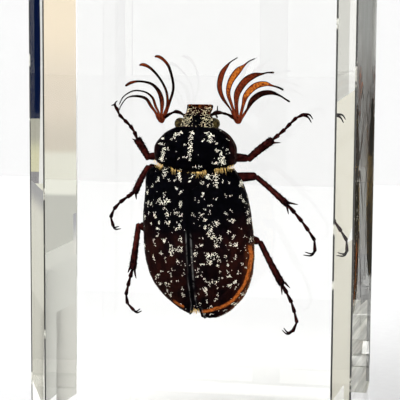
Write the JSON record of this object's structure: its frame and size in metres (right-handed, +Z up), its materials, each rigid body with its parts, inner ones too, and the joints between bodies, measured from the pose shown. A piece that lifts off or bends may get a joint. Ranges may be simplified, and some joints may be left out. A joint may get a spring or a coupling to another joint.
{
  "type": "insect in resin block",
  "caption": "Chafer beetle with fan antennae, spread flat and sealed in an upright clear resin block with a bevelled front face.",
  "frame": {"origin": "centre of the block's bottom face, on the surface it stands on", "axes": "+Z up along the block's long side and towards the beetle's head, -Y out of the bevelled front face, +X to the right seen from the front"},
  "size_m": [0.046, 0.0392, 0.074],
  "materials": {
    "resin": "polished, clear cast resin",
    "chitin": "dark brown and black beetle shell with cream scales"
  },
  "bodies": {
    "root": {"resin_front": "resin", "resin_back": "resin", "beetle": "chitin"}
  },
  "joints": []
}
